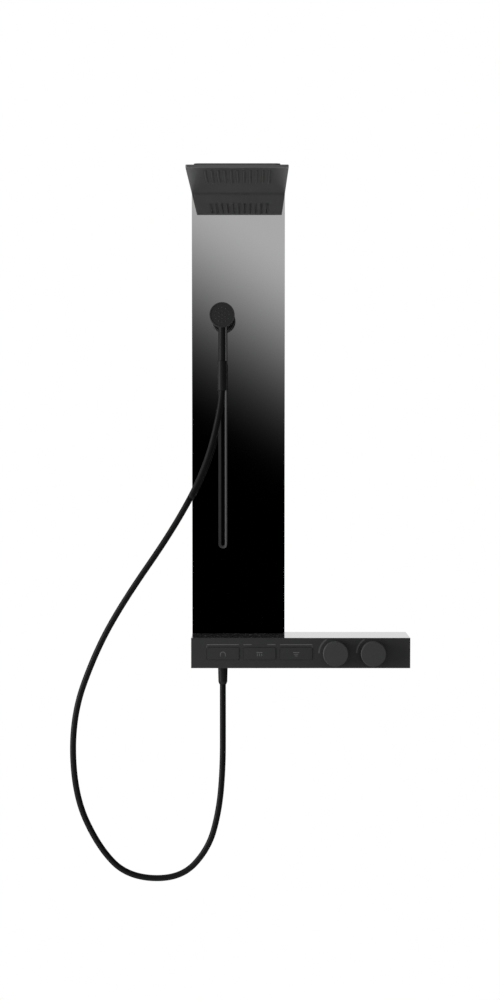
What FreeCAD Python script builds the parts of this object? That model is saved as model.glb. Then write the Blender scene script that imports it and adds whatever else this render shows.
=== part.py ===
import FreeCAD, Part
import math
import os

# A wall shower set: a control bar with a shelf, a mirror-polished column, a flat overhead head and a
# hand shower that slides in the column. Lengths are in millimetres and angles in degrees.
# Frame: the origin is on the wall behind the middle of the control bar, +X runs right as seen from
# the front, +Y runs into the wall and +Z runs up.

V = FreeCAD.Vector
Y_AXIS = V(0, 1, 0)
Z_AXIS = V(0, 0, 1)
full_turn = 360

# Clearances
overrun = 2.0
fit_gap = 0.3
slide_gap = 0.4
running_gap = 0.05

# Control bar: housing, shelf, fascia and end caps
bar_width = 500.0
bar_height = 69.0
bar_depth = 120.0
housing_wall = 3.0
fascia_thickness = 4.0
fascia_edge_round = 1.0
shelf_thickness = 4.0
end_cap_thickness = 4.0

# Push buttons on the fascia, each with a plunger into its diverter
button_count = 3
button_width_share = 0.146
button_height = 28.0
button_depth = 8.0
button_pitch_share = 0.167
button_margin_share = 0.072
button_drop = 1.0
button_proud = 1.0
button_gap = 0.5
button_corner = 3.0
button_skin = 2.5
button_wall = 1.5
button_boss_radius = 6.0
plunger_radius = 4.0
plunger_reach = 15.0
guide_depth = 12.0
guide_margin = 6.0

# Flow and temperature knobs
knob_margin_share = 0.17
knob_pitch_share = 0.172
knob_radius = 28.5
knob_depth = 18.0
knob_gap = 1.0
knob_skin = 2.5
knob_chamfer = 1.2
knob_hub_radius = 9.0
spindle_radius = 5.0
spindle_hole_gap = 0.5
spindle_reach = 19.0
spindle_hub_reach = 7.0

# Mixing valve and its cartridges
gallery_radius = 18.0
gallery_bore_radius = 10.0
gallery_end = 34.0
gallery_end_wall = 6.0
boss_reach = 30.0
boss_wall = 3.0
diverter_radius = 14.0
mixer_radius = 17.0
pocket_floor = 8.0
collar_thickness = 5.0
collar_lip = 2.0
diverter_neck_radius = 8.0
diverter_neck_reach = 5.0
mixer_neck_radius = 9.0
mixer_neck_reach = 17.0
cartridge_floor = 5.0

# Supply inlets in the back, with a half-inch pipe thread's core bore
inlet_pitch = 150.0
inlet_boss_radius = 17.0
union_radius = 13.0
union_length = 24.0
thread_core_radius = 9.3
thread_length = 15.0
filter_radius = 7.7
filter_thickness = 2.5
filter_seat_depth = 3.0
supply_bore_radius = 6.0

# Column: mirror panel, two rails and the slide slot
column_width = 215.0
column_depth = 27.0
column_height = 1019.5
panel_thickness = 5.0
rail_wall = 2.5
rail_margin = 1.0
wall_hole_radius = 3.2
wall_hole_height = 85.5
wall_hole_spacing = 700.0
slot_share = 0.33256
slot_width = 20.6
slot_bevel = 6.0
slot_foot = 198.5
slot_length = 550.0
trim_flange = 3.0
trim_flange_thickness = 1.5
trim_land = 1.0
track_width = 36.0
track_depth = 15.0
track_wall = 2.0
track_cavity_width = 28.0
bumper_length = 9.5

# Overhead head: tray, cover, spray strips and water chamber
head_reach = 397.0
tray_thickness = 6.0
tray_corner = 4.0
cover_inset_share = 0.08
cover_setback = 6.0
cover_front_height = 3.5
cover_rear_height = 30.0
cover_wall = 1.5
cover_corner = 12.0
spray_columns = 11
spray_pitch_share = 0.0633
spray_slot_width = 6.0
spray_tip = 0.8
spray_flange_width = 9.0
spray_flange_thickness = 1.5
rear_bank_shares = (0.44, 0.66)
front_bank_shares = (0.68, 0.90)
gasket_thickness = 1.0
chamber_gap = 0.5
chamber_side_gap = 1.0
chamber_wall = 2.0
chamber_roof = 1.5
chamber_margin = 6.0
chamber_rear_margin = 14.0
duct_gap = 2.5
bracket_width = 14.0
bracket_thickness = 4.0
bracket_drop = 158.0
bracket_end_gap = 8.0
bracket_side_gap = 2.3
screw_radius = 2.5
screw_hole_gap = 0.3
screw_head_radius = 4.5
screw_head_height = 3.0
screw_heights = (48.0, 128.0)

# Riser pipes from the valve to the head
riser_radius = 6.0
riser_bore_radius = 4.5
riser_setback = 11.0
riser_elbow_radius = 14.0
riser_shares = (0.65, 0.51)
riser_inlet_gap = 35.25
riser_boss_radius = 10.0
riser_boss_reach = 22.0
riser_seat = 6.0
riser_hole_gap = 2.5
riser_rise = 8.0

# Slider in the column and the dock that carries the hand shower
slider_rest_gap = 1.0
carriage_height = 60.0
carriage_cheek = 2.0
pad_height = 40.0
neck_height = 18.0
neck_gap = 0.5
arm_radius = 11.0
arm_shoulder_radius = 17.0
arm_shoulder_thickness = 3.0
glide_thickness = 2.5
glide_gap = 0.5
dock_gap = 1.0
peg_neck_width = 10.0
peg_neck_height = 14.0
peg_neck_length = 6.0
peg_head_width = 18.0
peg_head_height = 22.0
peg_head_thickness = 5.0
dock_lip = 4.5
dock_cavity_depth = 6.5
dock_boss_radius = 18.0
dock_boss_length = 19.0

# Hand shower
handset_axis_reach = 140.0
handset_radius = 28.3
handset_front = 12.0
handset_back = 14.0
handset_wall = 2.5
handset_back_wall = 4.0
handset_back_round = 6.0
handset_rim_round = 0.8
handle_radius = 7.75
handle_bore_radius = 4.5
handle_length = 102.6
handle_seat = 10.0
face_recess = 0.5
face_thickness = 3.0
nozzle_mat_thickness = 2.0
nozzle_ring_radii = (0.0, 8.0, 16.0)
nozzle_ring_counts = (1, 6, 12)
nozzle_hole_radius = 1.2
nozzle_tip_radius = 0.9
nozzle_tip_proud = 0.6

# Hose with a nut at each end
hose_radius = 7.0
hose_outlet_reach = 60.0
hose_seat = 6.0
washer_thickness = 2.0
upper_nut_radius = 10.2
upper_nut_length = 66.8
nut_chamfer = 1.0
lower_nut_top_radius = 11.3
lower_nut_foot_radius = 10.4
lower_nut_end_radius = 8.2
lower_nut_taper = 6.0
lower_nut_length = 45.0
nipple_radius = 10.0
nipple_reach = 12.0
nipple_seat = 13.0
outlet_boss_radius = 15.0

# The hose's route from the outlet nut round its hanging loop to the hand shower's nut, as points whose
# corners are rounded: each one's sway to the side, its share of the way out from the wall, its drop
# below the outlet and its share of the rise to the hand shower. The hose is split in the middle of
# one run, above which it goes with the slider.
hose_sways = [
    0.0, 0.0, 0.0, -8.5, -33.5, -99.5, -219.5, -287.5,
    -341.5, -345.5, -291.5, -225.5, -109.5, -35.5, 0.0, 0.0,
]
hose_reach_shares = [
    0.0, 0.0, 0.075, 0.138, 0.2, 0.263, 0.325, 0.375,
    0.438, 0.538, 0.638, 0.725, 0.825, 0.925, 1.0, 1.0,
]
hose_drops = [
    0.0, 92.0, 199.0, 299.0, 389.0, 457.0, 451.0, 379.0,
    257.0, 77.0, 0.0, 0.0, 0.0, 0.0, 0.0, 0.0,
]
hose_rise_shares = [
    0.0, 0.0, 0.0, 0.0, 0.0, 0.0, 0.0, 0.0,
    0.0, 0.0, 0.108, 0.284, 0.53, 0.735, 0.95, 1.0,
]
hose_split_count = 13
hose_split_share = 0.5
hose_arc_share = 0.45

# Places worked out from the sizes above
bar_left = -bar_width / 2
bar_right = bar_width / 2
bar_bottom = -bar_height / 2
bar_top = bar_height / 2
bar_front = -bar_depth
housing_left = bar_left + end_cap_thickness
housing_right = bar_right - end_cap_thickness
housing_front = bar_front + fascia_thickness
housing_top = bar_top - shelf_thickness
inner_bottom = bar_bottom + housing_wall
inner_top = housing_top - housing_wall
inner_rear = -housing_wall

button_width = bar_width * button_width_share
button_pitch = bar_width * button_pitch_share
button_margin = bar_width * button_margin_share
button_places = [
    bar_left + button_margin + button_width / 2 + k * button_pitch for k in range(button_count)
]
button_names = ["left", "centre", "right"]
button_face = bar_front - button_proud
button_rear = button_face + button_depth
temperature_place = bar_right - bar_width * knob_margin_share
flow_place = temperature_place - bar_width * knob_pitch_share
knob_rear = bar_front - knob_gap
knob_face = knob_rear - knob_depth

valve_axis = -hose_outlet_reach
boss_front = valve_axis - boss_reach
pocket_rear = valve_axis + pocket_floor
gallery_left = bar_left + gallery_end
gallery_right = temperature_place + mixer_radius + boss_wall
diverter_neck_front = boss_front - collar_thickness - diverter_neck_reach
mixer_neck_front = boss_front - collar_thickness - mixer_neck_reach
plunger_end = diverter_neck_front + plunger_reach

column_left = bar_left
column_right = column_left + column_width
column_middle = (column_left + column_right) / 2
panel_face = -column_depth
panel_rear = panel_face + panel_thickness
head_underside = bar_top + column_height
tray_top = head_underside + tray_thickness
head_front = panel_face - head_reach

slot_place = column_left + column_width * slot_share
riser_places = [column_left + column_width * share for share in riser_shares]
inlet_left = riser_places[0] + riser_inlet_gap
inlet_places = (inlet_left, inlet_left + inlet_pitch)
cover_inset = column_width * cover_inset_share
bracket_edge = cover_inset + cover_wall + bracket_side_gap
rail_flange = bracket_edge + bracket_width + rail_margin
slot_bottom = bar_top + slot_foot
slot_top = slot_bottom + slot_length
slot_clear_width = slot_width - 2 * slot_bevel
slot_clear_bottom = slot_bottom + slot_bevel
slot_clear_top = slot_top - slot_bevel
track_front = panel_rear + trim_flange_thickness
track_rear = track_front + track_depth
cavity_front = track_front + track_wall
cavity_rear = track_rear - track_wall
handset_place = slot_clear_top - slider_rest_gap - neck_height / 2
slider_travel = slot_clear_top - slot_clear_bottom - neck_height - 2 * neck_gap
track_top = handset_place + carriage_height / 2 + neck_gap + bumper_length
track_bottom = handset_place - slider_travel - carriage_height / 2 - neck_gap - bumper_length

handset_axis = -handset_axis_reach
handset_face = handset_axis - handset_front
handset_rear = handset_axis + handset_back
dock_rear = handset_rear + dock_boss_length
arm_front = dock_rear + dock_gap
peg_neck_front = arm_front - peg_neck_length
upper_nut_top = handset_place - handle_length
upper_nut_foot = upper_nut_top - upper_nut_length
lower_nut_foot = bar_bottom - lower_nut_length

cover_left = column_left + cover_inset
cover_right = column_right - cover_inset
cover_front = head_front + cover_setback
cover_slope = (cover_rear_height - cover_front_height) / -cover_front
bank_rear = [panel_face - share * head_reach for share in rear_bank_shares]
bank_front = [panel_face - share * head_reach for share in front_bank_shares]
spray_pitch = column_width * spray_pitch_share
spray_half_width = (spray_columns - 1) / 2 * spray_pitch + spray_flange_width / 2
spray_places = [
    column_middle + (k - (spray_columns - 1) / 2) * spray_pitch for k in range(spray_columns)
]
chamber_left = cover_left + cover_wall + chamber_side_gap
chamber_right = cover_right - cover_wall - chamber_side_gap
chamber_front = bank_front[1] - chamber_margin - chamber_wall
chamber_rear = bank_rear[0] + chamber_rear_margin
chamber_base = tray_top + gasket_thickness
riser_axis = -riser_setback
riser_level = tray_top + riser_rise
bracket_front = panel_rear + rail_wall
bracket_rear = bracket_front + bracket_thickness
bracket_end = chamber_rear + bracket_end_gap
hose_start = V(slot_place, valve_axis, lower_nut_foot + hose_seat)
hose_end = V(slot_place, handset_axis, upper_nut_foot + hose_seat)


def block(x, y, z):
    """A box between a low and a high place on each axis."""
    return Part.makeBox(x[1] - x[0], y[1] - y[0], z[1] - z[0], V(x[0], y[0], z[0]))


def rod(start, end, radius):
    """A round bar between two points."""
    run = end - start
    return Part.makeCylinder(radius, run.Length, start, run)


def prism_z(outline, z):
    """An outline of (x, y) points, raised between two heights."""
    points = [V(x, y, z[0]) for x, y in outline]
    return Part.Face(Part.makePolygon(points + points[:1])).extrude(V(0, 0, z[1] - z[0]))


def prism_x(outline, x):
    """An outline of (y, z) points, drawn between two places along X."""
    points = [V(x[0], y, z) for y, z in outline]
    return Part.Face(Part.makePolygon(points + points[:1])).extrude(V(x[1] - x[0], 0, 0))


def turned_y(x, z, outline):
    """A turned piece about a Y axis, from an outline of (radius, y) points."""
    points = [V(x + radius, y, z) for radius, y in outline]
    face = Part.Face(Part.makePolygon(points + points[:1]))
    return face.revolve(V(x, 0, z), Y_AXIS, full_turn)


def turned_z(x, y, outline):
    """A turned piece about a Z axis, from an outline of (radius, z) points."""
    points = [V(x + radius, y, z) for radius, z in outline]
    face = Part.Face(Part.makePolygon(points + points[:1]))
    return face.revolve(V(x, y, 0), Z_AXIS, full_turn)


def slot_wire(start, end, width, normal):
    """A round-ended outline about two end centres, in the plane square to normal."""
    along = (end - start).normalize()
    side = along.cross(normal).normalize() * (width / 2)
    tip = along * (width / 2)
    edges = [
        Part.LineSegment(start + side, end + side).toShape(),
        Part.Arc(end + side, end + tip, end - side).toShape(),
        Part.LineSegment(end - side, start - side).toShape(),
        Part.Arc(start - side, start - tip, start + side).toShape(),
    ]
    return Part.Wire(edges)


def upright_wire(x, y, width, z):
    """An upright round-ended outline in the plane at y, between two outer heights."""
    return slot_wire(V(x, y, z[0] + width / 2), V(x, y, z[1] - width / 2), width, Y_AXIS)


def upright_slot(x, y, width, z):
    """An upright round-ended bar, drawn between two places along Y."""
    return Part.Face(upright_wire(x, y[0], width, z)).extrude(V(0, y[1] - y[0], 0))


def rounded(shape, radius, wanted):
    """The shape with the edges that wanted() picks rounded."""
    return shape.makeFillet(radius, [edge for edge in shape.Edges if wanted(edge)])


def runs_along(edge, axis):
    """Whether an edge is straight along an axis."""
    if len(edge.Vertexes) < 2:
        return False
    run = edge.Vertexes[1].Point - edge.Vertexes[0].Point
    return math.isclose(abs(run.dot(axis)), edge.Length)


def lies_at(edge, axis, place):
    """Whether the whole edge lies in the plane at a place along an axis."""
    box = edge.BoundBox
    low = V(box.XMin, box.YMin, box.ZMin).dot(axis)
    high = V(box.XMax, box.YMax, box.ZMax).dot(axis)
    return abs(low - place) < running_gap and abs(high - place) < running_gap


def bent_path(points, radius_of):
    """Straight runs joined by tangent arcs, with each corner's radius."""
    edges = []
    radii = []
    here = points[0]
    for before, corner, after in zip(points, points[1:], points[2:]):
        back = (before - corner).normalize()
        on = (after - corner).normalize()
        half_turn = (math.pi - back.getAngle(on)) / 2
        radius = radius_of(before, corner, after, half_turn)
        setback = radius * math.tan(half_turn)
        first = corner + back * setback
        last = corner + on * setback
        middle = corner + (back + on).normalize() * (radius / math.cos(half_turn) - radius)
        edges.append(Part.LineSegment(here, first).toShape())
        edges.append(Part.Arc(first, middle, last).toShape())
        radii.append(radius)
        here = last
    edges.append(Part.LineSegment(here, points[-1]).toShape())
    return Part.Wire(edges), radii


def tube_along(path, radius):
    """A round solid swept along a path."""
    start = path.Edges[0]
    direction = start.tangentAt(start.FirstParameter)
    section = Part.Wire(Part.Circle(start.valueAt(start.FirstParameter), direction, radius).toShape())
    return path.makePipeShell([section], True, False)


def front_fascia():
    """The front plate, with openings for the buttons and the knob spindles."""
    plate = block((bar_left, bar_right), (bar_front, housing_front), (bar_bottom, bar_top))
    plate = rounded(plate, fascia_edge_round, lambda edge: lies_at(edge, Y_AXIS, bar_front))
    for x in button_places:
        plate = plate.cut(button_block(x, button_gap, (bar_front - overrun, housing_front + overrun)))
    for x in (flow_place, temperature_place):
        start = V(x, bar_front - overrun, 0)
        plate = plate.cut(rod(start, V(x, housing_front + overrun, 0), spindle_radius + spindle_hole_gap))
    return plate


def button_block(x, gap, y):
    """A button's outline, grown by a gap, drawn between two places along Y."""
    half_width = button_width / 2 + gap
    half_height = button_height / 2 + gap
    body = block(
        (x - half_width, x + half_width),
        y,
        (-button_drop - half_height, -button_drop + half_height),
    )
    return rounded(body, button_corner + gap, lambda edge: runs_along(edge, Y_AXIS))


def button_cap(x):
    """A hollow push button with a boss for its plunger."""
    cap = button_block(x, 0, (button_face, button_rear))
    cap = cap.cut(button_block(x, -button_wall, (button_face + button_skin, button_rear + overrun)))
    boss = rod(V(x, button_face + button_skin, 0), V(x, button_rear, 0), button_boss_radius)
    floor = V(x, button_face + button_skin, 0)
    hole = rod(floor, V(x, button_rear + overrun, 0), plunger_radius + running_gap)
    return cap.fuse(boss).cut(hole).removeSplitter()


def button_plunger(x):
    """The pin that carries a button's press into its diverter."""
    return rod(V(x, button_face + button_skin, 0), V(x, plunger_end, 0), plunger_radius)


def button_guide():
    """The frame behind the fascia that keeps the buttons square."""
    reach = button_width / 2 + guide_margin
    x = (button_places[0] - reach, button_places[-1] + reach)
    half_height = button_height / 2 + guide_margin
    frame = block(
        x,
        (housing_front, housing_front + guide_depth),
        (-button_drop - half_height, -button_drop + half_height),
    )
    for place in button_places:
        depth = (housing_front - overrun, housing_front + guide_depth + overrun)
        cut = button_block(place, slide_gap, depth)
        frame = frame.cut(cut)
    return frame


def knob(x):
    """A turned cup with a chamfered face and a hub for its spindle."""
    inner = knob_radius - knob_skin
    hub_bore = spindle_radius + running_gap
    spindle_end = bar_front - spindle_hub_reach
    return turned_y(
        x,
        0,
        [
            (0, knob_face),
            (knob_radius - knob_chamfer, knob_face),
            (knob_radius, knob_face + knob_chamfer),
            (knob_radius, knob_rear),
            (inner, knob_rear),
            (inner, knob_face + knob_skin),
            (knob_hub_radius, knob_face + knob_skin),
            (knob_hub_radius, knob_rear),
            (hub_bore, knob_rear),
            (hub_bore, spindle_end),
            (0, spindle_end),
        ],
    )


def knob_spindle(x):
    """The shaft from a mixing cartridge to its knob."""
    start = V(x, mixer_neck_front + spindle_reach, 0)
    return rod(start, V(x, bar_front - spindle_hub_reach, 0), spindle_radius)


def shelf_plate():
    """The polished shelf on top of the bar, with holes for the risers."""
    plate = block((bar_left, bar_right), (housing_front, 0), (housing_top, bar_top))
    return plate.cut(riser_holes((housing_top - overrun, bar_top + overrun)))


def riser_holes(z):
    """Clearance holes for both riser pipes between two heights."""
    holes = [
        rod(V(x, riser_axis, z[0]), V(x, riser_axis, z[1]), riser_radius + riser_hole_gap)
        for x in riser_places
    ]
    return Part.makeCompound(holes)


def bar_housing():
    """The channel behind the fascia, holed for the supplies, the risers and the hose outlet."""
    channel = block((housing_left, housing_right), (housing_front, 0), (bar_bottom, housing_top))
    channel = channel.cut(
        block(
            (housing_left - overrun, housing_right + overrun),
            (housing_front - overrun, inner_rear),
            (inner_bottom, inner_top),
        )
    )
    for x in inlet_places:
        channel = channel.cut(rod(V(x, inner_rear - overrun, 0), V(x, overrun, 0), union_radius + fit_gap))
    outlet = V(slot_place, valve_axis, bar_bottom - overrun)
    top = V(slot_place, valve_axis, inner_bottom + overrun)
    channel = channel.cut(rod(outlet, top, nipple_radius + fit_gap))
    return channel.cut(riser_holes((inner_top - overrun, housing_top + overrun)))


def end_cap(x):
    """A plate that closes one end of the bar."""
    return block(x, (housing_front, 0), (bar_bottom, housing_top))


def valve_body():
    """The cast manifold: a gallery with bosses for cartridges, supplies, risers and the outlet."""
    body = rod(V(gallery_left, valve_axis, 0), V(gallery_right, valve_axis, 0), gallery_radius)
    pockets = [
        rod(
            V(gallery_left + gallery_end_wall, valve_axis, 0),
            V(gallery_right - gallery_end_wall, valve_axis, 0),
            gallery_bore_radius,
        )
    ]
    cartridges = [(x, diverter_radius) for x in button_places]
    cartridges += [(x, mixer_radius) for x in (flow_place, temperature_place)]
    for x, radius in cartridges:
        front = V(x, boss_front, 0)
        body = body.fuse(rod(V(x, valve_axis, 0), front, radius + boss_wall))
        pockets.append(rod(V(x, pocket_rear, 0), front - Y_AXIS * overrun, radius + fit_gap))
    for x in inlet_places:
        rear = V(x, inner_rear, 0)
        body = body.fuse(rod(V(x, valve_axis, 0), rear, inlet_boss_radius))
        pockets.append(rod(V(x, -union_length, 0), rear + Y_AXIS * overrun, union_radius + fit_gap))
        pockets.append(rod(V(x, valve_axis, 0), rear, supply_bore_radius))
    for place in riser_places:
        rear = V(place, valve_axis + riser_boss_reach, 0)
        body = body.fuse(rod(V(place, valve_axis, 0), rear, riser_boss_radius))
        pockets.append(rod(rear - Y_AXIS * riser_seat, rear + Y_AXIS * overrun, riser_radius + fit_gap))
        pockets.append(rod(V(place, valve_axis, 0), rear, riser_bore_radius))
    foot = V(slot_place, valve_axis, inner_bottom)
    body = body.fuse(rod(V(slot_place, valve_axis, 0), foot, outlet_boss_radius))
    pockets.append(rod(foot + Z_AXIS * nipple_seat, foot - Z_AXIS * overrun, nipple_radius + fit_gap))
    pockets.append(rod(V(slot_place, valve_axis, 0), foot, supply_bore_radius))
    for pocket in pockets:
        body = body.cut(pocket)
    return body


def cartridge(x, radius, neck_radius, neck_front, stem_radius, stem_end):
    """A turned cartridge: body in its pocket, clamping collar, neck and a bore for its stem."""
    collar_front = boss_front - collar_thickness
    bore = stem_radius + running_gap
    floor = stem_end + cartridge_floor
    return turned_y(
        x,
        0,
        [
            (0, pocket_rear),
            (radius, pocket_rear),
            (radius, boss_front),
            (radius + collar_lip, boss_front),
            (radius + collar_lip, collar_front),
            (neck_radius, collar_front),
            (neck_radius, neck_front),
            (bore, neck_front),
            (bore, floor),
            (0, floor),
        ],
    )


def diverter_cartridge(x):
    """A push diverter behind one button."""
    return cartridge(
        x, diverter_radius, diverter_neck_radius, diverter_neck_front, plunger_radius, plunger_end
    )


def mixing_cartridge(x):
    """A flow or temperature cartridge behind one knob."""
    stem_end = mixer_neck_front + spindle_reach
    return cartridge(x, mixer_radius, mixer_neck_radius, mixer_neck_front, spindle_radius, stem_end)


def inlet_union(x):
    """A threaded supply socket that opens in the wall face, with a seat for its filter."""
    seat = -thread_length
    return turned_y(
        x,
        0,
        [
            (thread_core_radius, 0),
            (union_radius, 0),
            (union_radius, -union_length),
            (supply_bore_radius, -union_length),
            (supply_bore_radius, seat - filter_seat_depth),
            (filter_radius + fit_gap, seat - filter_seat_depth),
            (filter_radius + fit_gap, seat),
            (thread_core_radius, seat),
        ],
    )


def inlet_filters():
    """The two strainer discs in the supply sockets."""
    rear = -thread_length - filter_seat_depth
    discs = [rod(V(x, rear, 0), V(x, rear + filter_thickness, 0), filter_radius) for x in inlet_places]
    return Part.makeCompound(discs)


def hose_outlet():
    """The nipple below the bar that the hose screws on to."""
    top = inner_bottom + nipple_seat
    foot = bar_bottom - nipple_reach
    return turned_z(
        slot_place,
        valve_axis,
        [
            (supply_bore_radius, foot),
            (nipple_radius, foot),
            (nipple_radius, top),
            (supply_bore_radius, top),
        ],
    )


def washer(y, top, outer):
    """A flat hose washer on the slot's line."""
    return turned_z(
        slot_place,
        y,
        [
            (handle_bore_radius, top),
            (outer, top),
            (outer, top - washer_thickness),
            (handle_bore_radius, top - washer_thickness),
        ],
    )


def lower_hose_nut():
    """The tapered nut under the bar."""
    bore = nipple_radius + fit_gap
    seat = bar_bottom - nipple_reach - washer_thickness
    socket = hose_radius + fit_gap
    return turned_z(
        slot_place,
        valve_axis,
        [
            (bore, bar_bottom),
            (lower_nut_top_radius, bar_bottom),
            (lower_nut_foot_radius, lower_nut_foot + lower_nut_taper),
            (lower_nut_end_radius, lower_nut_foot),
            (socket, lower_nut_foot),
            (socket, lower_nut_foot + hose_seat),
            (handle_bore_radius, lower_nut_foot + hose_seat),
            (handle_bore_radius, seat),
            (bore, seat),
        ],
    )


def upper_hose_nut():
    """The long sleeve nut under the hand shower's handle."""
    bore = handle_radius + fit_gap
    seat = upper_nut_top - handle_seat - washer_thickness
    socket = hose_radius + fit_gap
    return turned_z(
        slot_place,
        handset_axis,
        [
            (bore, upper_nut_top),
            (upper_nut_radius - nut_chamfer, upper_nut_top),
            (upper_nut_radius, upper_nut_top - nut_chamfer),
            (upper_nut_radius, upper_nut_foot + nut_chamfer),
            (upper_nut_radius - nut_chamfer, upper_nut_foot),
            (socket, upper_nut_foot),
            (socket, upper_nut_foot + hose_seat),
            (handle_bore_radius, upper_nut_foot + hose_seat),
            (handle_bore_radius, seat),
            (bore, seat),
        ],
    )


def hose_route():
    """The points of the hose's route."""
    span = hose_end - hose_start
    return [
        hose_start + V(sway, reach * span.y, rise * span.z - drop)
        for sway, reach, drop, rise in zip(hose_sways, hose_reach_shares, hose_drops, hose_rise_shares)
    ]


def hose_radius_at(before, corner, after, half_turn):
    """The largest corner that two runs of the hose leave room for."""
    shorter = min((before - corner).Length, (after - corner).Length)
    return hose_arc_share * shorter / math.tan(half_turn)


def hose_stretch(name, points):
    """One stretch of the hose, with its radii and its volume set against section times length."""
    path, radii = bent_path(points, hose_radius_at)
    tube = tube_along(path, hose_radius)
    plain = math.pi * hose_radius**2 * path.Length
    print(name, "length", round(path.Length), "volume share", round(tube.Volume / plain, 2))
    print(name, "radii", [round(radius) for radius in radii])
    return tube


def column_panel():
    """The mirror front plate with the slot for its trim."""
    plate = block((column_left, column_right), (panel_face, panel_rear), (bar_top, head_underside))
    cut = upright_slot(
        slot_place,
        (panel_face - overrun, panel_rear + overrun),
        slot_width + 2 * fit_gap,
        (slot_bottom - fit_gap, slot_top + fit_gap),
    )
    return plate.cut(cut)


def column_rail(edge, inward):
    """A C-section rail at one side of the column, holed for wall screws and bracket screws."""
    near = edge + inward * rail_wall
    far = edge + inward * rail_flange
    rail = prism_z(
        [
            (edge, panel_rear),
            (far, panel_rear),
            (far, bracket_front),
            (near, bracket_front),
            (near, -rail_wall),
            (far, -rail_wall),
            (far, 0),
            (edge, 0),
        ],
        (bar_top, head_underside),
    )
    x = edge + inward * rail_flange / 2
    for k in range(2):
        z = bar_top + wall_hole_height + k * wall_hole_spacing
        rail = rail.cut(rod(V(x, -rail_wall - overrun, z), V(x, overrun, z), wall_hole_radius))
    for z in screw_levels():
        x = bracket_middle(edge, inward)
        start = V(x, panel_rear - overrun, z)
        rail = rail.cut(rod(start, V(x, bracket_front + overrun, z), screw_radius + screw_hole_gap))
    return rail


def screw_levels():
    """The heights of the screws that hold the head's brackets."""
    return [head_underside - drop for drop in screw_heights]


def bracket_middle(edge, inward):
    """The middle of a head bracket, across the column."""
    return edge + inward * (bracket_edge + bracket_width / 2)


def head_bracket(edge, inward):
    """An angle bar from a rail up through the tray and forward over it."""
    x = bracket_middle(edge, inward)
    bar = prism_x(
        [
            (bracket_rear, head_underside - bracket_drop),
            (bracket_rear, tray_top + bracket_thickness),
            (bracket_end, tray_top + bracket_thickness),
            (bracket_end, tray_top),
            (bracket_front, tray_top),
            (bracket_front, head_underside - bracket_drop),
        ],
        (x - bracket_width / 2, x + bracket_width / 2),
    )
    for z in screw_levels():
        start = V(x, bracket_front - overrun, z)
        bar = bar.cut(rod(start, V(x, bracket_rear + overrun, z), screw_radius + screw_hole_gap))
    return bar


def bracket_screws():
    """The screws that hold both head brackets to the rails."""
    screws = []
    for edge, inward in ((column_left, 1), (column_right, -1)):
        x = bracket_middle(edge, inward)
        for z in screw_levels():
            head = rod(V(x, bracket_rear, z), V(x, bracket_rear + screw_head_height, z), screw_head_radius)
            shank = rod(V(x, panel_rear + fit_gap, z), V(x, bracket_rear, z), screw_radius)
            screws.append(head.fuse(shank))
    return Part.makeCompound(screws)


def slot_trim():
    """The bevelled liner of the slide slot, with a flange behind the panel."""
    land = panel_rear - trim_land
    ring = upright_slot(slot_place, (panel_face, panel_rear), slot_width, (slot_bottom, slot_top))
    flange = upright_slot(
        slot_place,
        (panel_rear, track_front),
        slot_width + 2 * trim_flange,
        (slot_bottom - trim_flange, slot_top + trim_flange),
    )
    funnel = Part.makeLoft(
        [
            upright_wire(
                slot_place,
                panel_face,
                slot_width - 2 * fit_gap,
                (slot_bottom + fit_gap, slot_top - fit_gap),
            ),
            upright_wire(slot_place, land, slot_clear_width, (slot_clear_bottom, slot_clear_top)),
        ],
        True,
        True,
    )
    clear = upright_slot(
        slot_place,
        (land - fit_gap, track_front + overrun),
        slot_clear_width,
        (slot_clear_bottom, slot_clear_top),
    )
    return ring.fuse(flange).cut(funnel).cut(clear).removeSplitter()


def slide_track():
    """The channel behind the slot that guides the slider."""
    half = track_width / 2
    half_cavity = track_cavity_width / 2
    half_mouth = slot_clear_width / 2
    return prism_z(
        [
            (slot_place - half, track_front),
            (slot_place - half_mouth, track_front),
            (slot_place - half_mouth, cavity_front),
            (slot_place - half_cavity, cavity_front),
            (slot_place - half_cavity, cavity_rear),
            (slot_place + half_cavity, cavity_rear),
            (slot_place + half_cavity, cavity_front),
            (slot_place + half_mouth, cavity_front),
            (slot_place + half_mouth, track_front),
            (slot_place + half, track_front),
            (slot_place + half, track_rear),
            (slot_place - half, track_rear),
        ],
        (track_bottom, track_top),
    )


def track_bumpers():
    """The stops at the two ends of the track."""
    half = track_cavity_width / 2 - fit_gap
    x = (slot_place - half, slot_place + half)
    y = (cavity_front + fit_gap, cavity_rear - fit_gap)
    low = block(x, y, (track_bottom, track_bottom + bumper_length))
    high = block(x, y, (track_top - bumper_length, track_top))
    return Part.makeCompound([low, high])


def slide_carriage():
    """The block that runs in the track."""
    half = track_cavity_width / 2 - slide_gap - carriage_cheek
    half_height = carriage_height / 2
    return block(
        (slot_place - half, slot_place + half),
        (cavity_front + slide_gap, cavity_rear - slide_gap),
        (handset_place - half_height, handset_place + half_height),
    )


def carriage_pads():
    """The friction pads on the two sides of the carriage."""
    outer = track_cavity_width / 2 - slide_gap
    inner = outer - carriage_cheek
    y = (cavity_front + slide_gap, cavity_rear - slide_gap)
    z = (handset_place - pad_height / 2, handset_place + pad_height / 2)
    left = block((slot_place - outer, slot_place - inner), y, z)
    right = block((slot_place + inner, slot_place + outer), y, z)
    return Part.makeCompound([left, right])


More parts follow.
